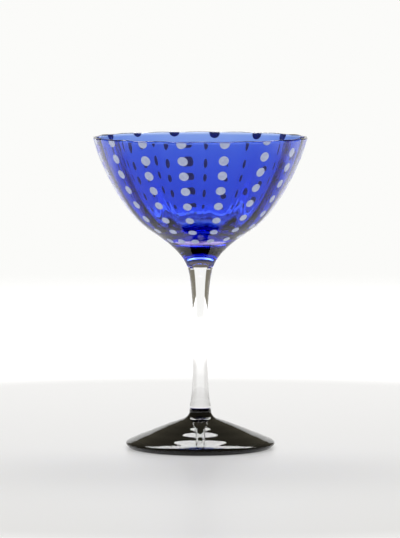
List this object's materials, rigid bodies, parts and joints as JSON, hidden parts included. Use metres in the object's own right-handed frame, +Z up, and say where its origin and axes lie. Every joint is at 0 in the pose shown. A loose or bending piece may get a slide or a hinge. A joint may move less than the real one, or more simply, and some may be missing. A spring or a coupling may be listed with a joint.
{
  "type": "martini glass",
  "caption": "Stemmed cocktail glass with a rounded blue bowl, upright columns of white beads, a clear stem and a dark conical foot.",
  "frame": {"origin": "centre of the foot's resting ring, on the surface that the glass stands on", "axes": "+Z up along the stem, from the foot to the rim; +X to the right and -Y to the front of the side that is usually seen, a round glass having no front of its own"},
  "size_m": [0.1067, 0.1067, 0.1546],
  "materials": {
    "cobalt_glass": "fire-polished blown glass",
    "clear_glass": "fire-polished blown and drawn glass",
    "dark_blue_glass": "fire-polished pressed glass",
    "white_glass": "opaque fused glass"
  },
  "bodies": {
    "root": {"bowl": "cobalt_glass", "casing": "clear_glass", "stem": "clear_glass", "foot": "dark_blue_glass", "bead_column_01": "white_glass", "bead_column_02": "white_glass", "bead_column_03": "white_glass", "bead_column_04": "white_glass", "bead_column_05": "white_glass", "bead_column_06": "white_glass", "bead_column_07": "white_glass", "bead_column_08": "white_glass", "bead_column_09": "white_glass", "bead_column_10": "white_glass", "bead_column_11": "white_glass", "bead_column_12": "white_glass", "bead_column_13": "white_glass", "bead_column_14": "white_glass", "bead_column_15": "white_glass", "bead_column_16": "white_glass"}
  },
  "joints": []
}
